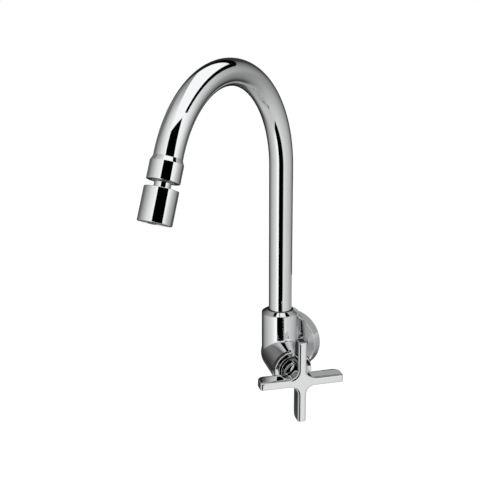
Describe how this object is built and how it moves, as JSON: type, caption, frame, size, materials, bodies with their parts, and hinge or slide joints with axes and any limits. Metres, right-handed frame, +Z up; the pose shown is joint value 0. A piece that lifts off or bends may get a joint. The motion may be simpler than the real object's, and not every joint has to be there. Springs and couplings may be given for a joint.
{
  "type": "kitchen tap",
  "caption": "Wall-mounted chromed kitchen tap with a side cross handle, a swivelling gooseneck spout and a ball-jointed aerator.",
  "frame": {"origin": "where the inlet's axis meets the wall's face", "axes": "+Y into the wall along the inlet's axis, -Y out into the room along the spout, +Z up along the riser, +X to the right of a person who faces the wall"},
  "size_m": [0.107, 0.2449, 0.3211],
  "materials": {
    "chrome_polished": "polished",
    "brass_turned": "turned",
    "rubber_black": "matte",
    "fibre_red": "matte",
    "foam_grey": "matte",
    "plastic_white": "matte",
    "plastic_grey": "matte",
    "steel_mesh": "brushed",
    "steel_screw": "plain",
    "ceramic_white": "polished",
    "ceramic_dark": "polished"
  },
  "bodies": {
    "tap_body": {"body_casting": "chrome_polished", "wall_flange": "chrome_polished", "flange_seal": "foam_grey", "inlet_nipple": "brass_turned", "inlet_strainer": "steel_mesh", "inlet_washer": "fibre_red", "spout_nut": "chrome_polished", "spout_wiper": "rubber_black", "socket_glide_rings": "plastic_white", "cartridge_body": "brass_turned", "cartridge_washer": "fibre_red", "seat_seal": "rubber_black", "ceramic_disc_fixed": "ceramic_white", "bonnet_ring": "chrome_polished"},
    "handle": {"ceramic_disc_moving": "ceramic_dark", "valve_spindle": "brass_turned", "spindle_o_rings": "rubber_black", "spindle_circlip": "steel_screw", "spline_adapter": "brass_turned", "handle_cross": "chrome_polished", "handle_set_screw": "steel_screw"},
    "spout": {"spout_tube": "chrome_polished", "spout_base_bush": "brass_turned", "spout_o_rings": "rubber_black", "spout_end_bush": "brass_turned", "swivel_collar": "chrome_polished", "collar_seal": "rubber_black"},
    "ball_seat": {"ball_slip_ring": "plastic_white"},
    "aerator_head": {"ball_stem": "chrome_polished", "aerator_housing": "chrome_polished", "aerator_washer": "rubber_black", "aerator_screens": "steel_mesh", "aerator_insert": "plastic_white", "outlet_grid": "plastic_grey", "outlet_ring": "chrome_polished"}
  },
  "joints": [
    {"name": "handle_turn", "type": "hinge", "parent": "tap_body", "child": "handle", "pos_m": [0.04543, -0.07323, -0.006], "axis": [0.7071, -0.7071, 0], "range_deg": [0, 90]},
    {"name": "spout_swivel", "type": "hinge", "parent": "tap_body", "child": "spout", "pos_m": [0, -0.0278, 0.03], "axis": [0, 0, 1], "range_deg": [-90, 90]},
    {"name": "aerator_spin", "type": "hinge", "parent": "spout", "child": "ball_seat", "pos_m": [0, -0.20277, 0.1979], "axis": [0, -0.3827, -0.9239], "continuous": true},
    {"name": "aerator_tilt", "type": "hinge", "parent": "ball_seat", "child": "aerator_head", "pos_m": [0, -0.20277, 0.1979], "axis": [1, 0, 0], "range_deg": [-15, 15]}
  ]
}
